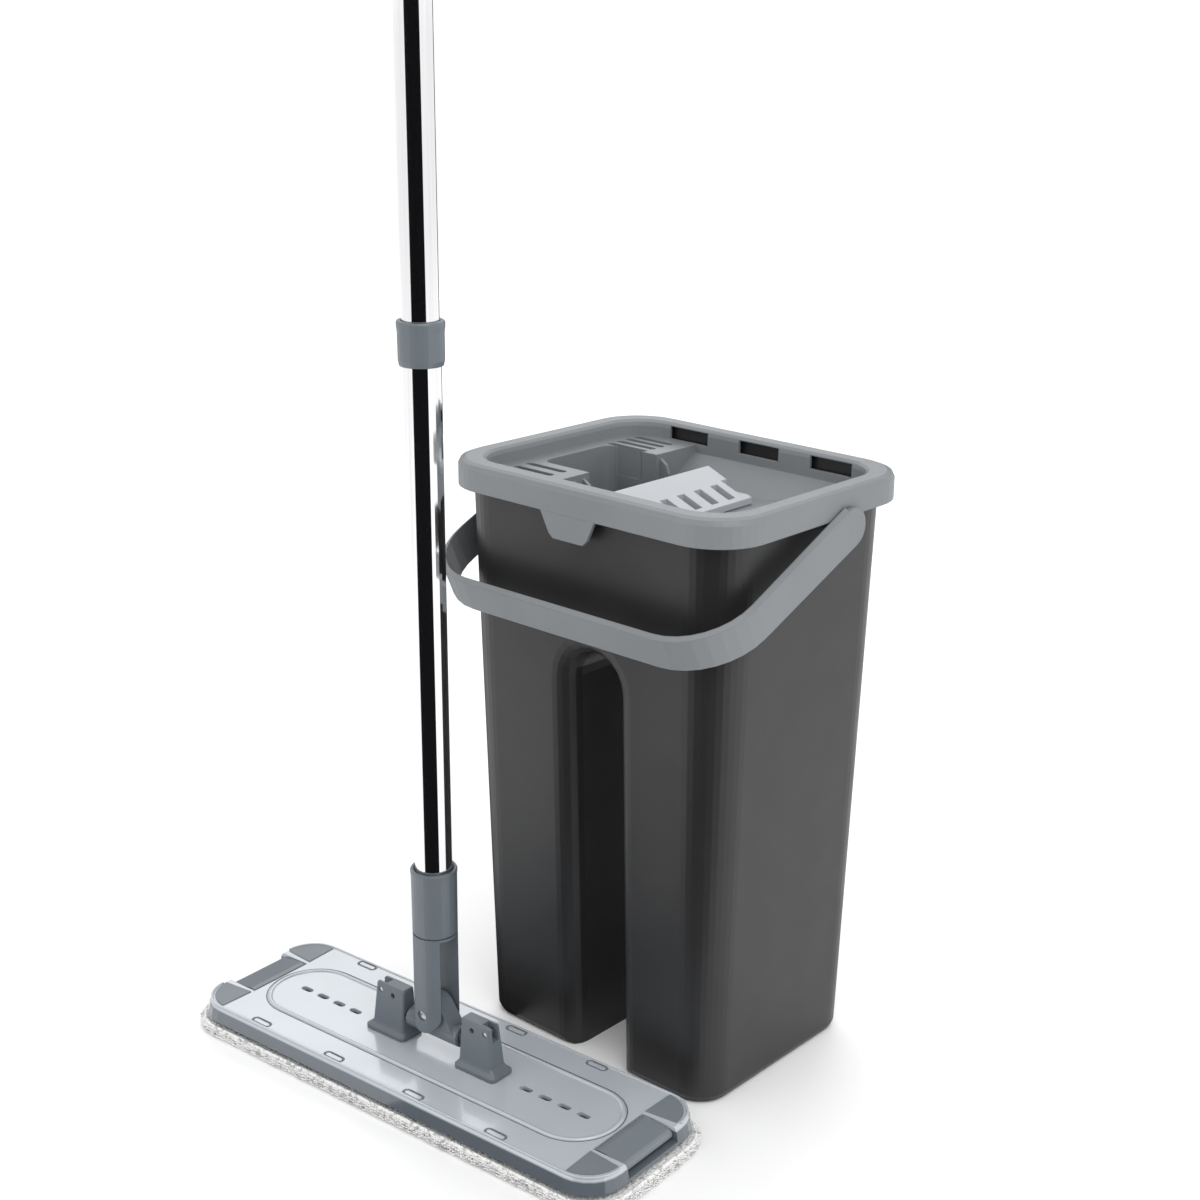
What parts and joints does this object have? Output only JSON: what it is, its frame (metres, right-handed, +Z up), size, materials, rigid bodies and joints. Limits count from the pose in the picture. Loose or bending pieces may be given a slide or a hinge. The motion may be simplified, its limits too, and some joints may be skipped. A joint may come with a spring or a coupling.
{
  "type": "flat mop and bucket with wringer",
  "caption": "Flat mop with a swivel head and telescopic pole, standing beside a two-leg bucket with a drop-in wringer tray and a swinging handle.",
  "frame": {"origin": "middle of the set's footprint, on the floor", "axes": "+Z up; +X to the right along the bucket's front; +Y towards the back, with the mop at -Y and the bucket at +Y"},
  "size_m": [0.355, 0.3122, 1.235],
  "materials": {
    "black_plastic": "moulded, satin",
    "grey_plastic": "moulded, satin",
    "pale_plastic": "moulded, satin",
    "slate_plastic": "moulded, semi-gloss",
    "plate_plastic": "glossy, silver-blue",
    "polished_steel": "polished, bright",
    "microfibre": "looped microfibre, mottled white and grey",
    "hook_tape": "hook tape",
    "grip_rubber": "soft moulded grip"
  },
  "bodies": {
    "bucket": {"tub": "black_plastic"},
    "wringer": {"wringer_tray": "grey_plastic", "wringer_scraper": "pale_plastic"},
    "handle": {"bucket_handle": "grey_plastic"},
    "mop_head": {"mop_plate": "plate_plastic", "mop_pad": "microfibre", "hook_strip_front": "hook_tape", "hook_strip_back": "hook_tape", "hinge_tower_left": "slate_plastic", "hinge_tower_right": "slate_plastic", "latch_pin_left": "polished_steel", "latch_pin_right": "polished_steel", "tower_screw_inner_left": "polished_steel", "tower_screw_inner_right": "polished_steel", "tower_screw_outer_left": "polished_steel", "tower_screw_outer_right": "polished_steel", "clip_pin_left": "polished_steel", "clip_pin_right": "polished_steel"},
    "clip_left": {"pad_clip_left": "slate_plastic"},
    "clip_right": {"pad_clip_right": "slate_plastic"},
    "yoke": {"swivel_yoke": "slate_plastic", "yoke_pin_left": "polished_steel", "yoke_pin_right": "polished_steel"},
    "pole_lower": {"pole_fork": "slate_plastic", "fork_pin": "polished_steel", "socket_sleeve": "slate_plastic", "lower_tube": "polished_steel", "pole_collar": "slate_plastic"},
    "pole_lock": {"lock_plug": "slate_plastic"},
    "pole_upper": {"upper_tube": "polished_steel", "hand_grip": "grip_rubber", "hang_cap": "slate_plastic"}
  },
  "joints": [
    {"name": "tray_lift", "type": "slide", "parent": "bucket", "child": "wringer", "axis": [0, 0, 1], "range_m": [0, 0.2]},
    {"name": "handle_swing", "type": "hinge", "parent": "bucket", "child": "handle", "pos_m": [0.054, 0.0861, 0.357], "axis": [-1, 0, 0], "range_deg": [0, 227.8]},
    {"name": "mop_move", "type": "slide", "parent": "bucket", "child": "mop_head", "axis": [0, -1, 0], "range_m": [0, 0.3]},
    {"name": "clip_left_open", "type": "hinge", "parent": "mop_head", "child": "clip_left", "pos_m": [-0.16368, -0.1016, 0.016], "axis": [0.0628, -0.998, 0], "range_deg": [0, 75]},
    {"name": "clip_right_open", "type": "hinge", "parent": "mop_head", "child": "clip_right", "pos_m": [0.16368, -0.081, 0.016], "axis": [-0.0628, 0.998, 0], "range_deg": [0, 75]},
    {"name": "yoke_tilt", "type": "hinge", "parent": "mop_head", "child": "yoke", "pos_m": [0, -0.0913, 0.037], "axis": [0.998, 0.0628, 0], "range_deg": [-6, 80]},
    {"name": "fork_swing", "type": "hinge", "parent": "yoke", "child": "pole_lower", "pos_m": [0, -0.0913, 0.05], "axis": [-0.0628, 0.998, 0], "range_deg": [-90, 15]},
    {"name": "pole_slide", "type": "slide", "parent": "pole_lower", "child": "pole_lock", "axis": [0, 0, 1], "range_m": [-0.24, 0]},
    {"name": "pole_twist", "type": "hinge", "parent": "pole_lock", "child": "pole_upper", "pos_m": [0, -0.0913, 0.414], "axis": [0, 0, 1], "range_deg": [0, 90]}
  ]
}
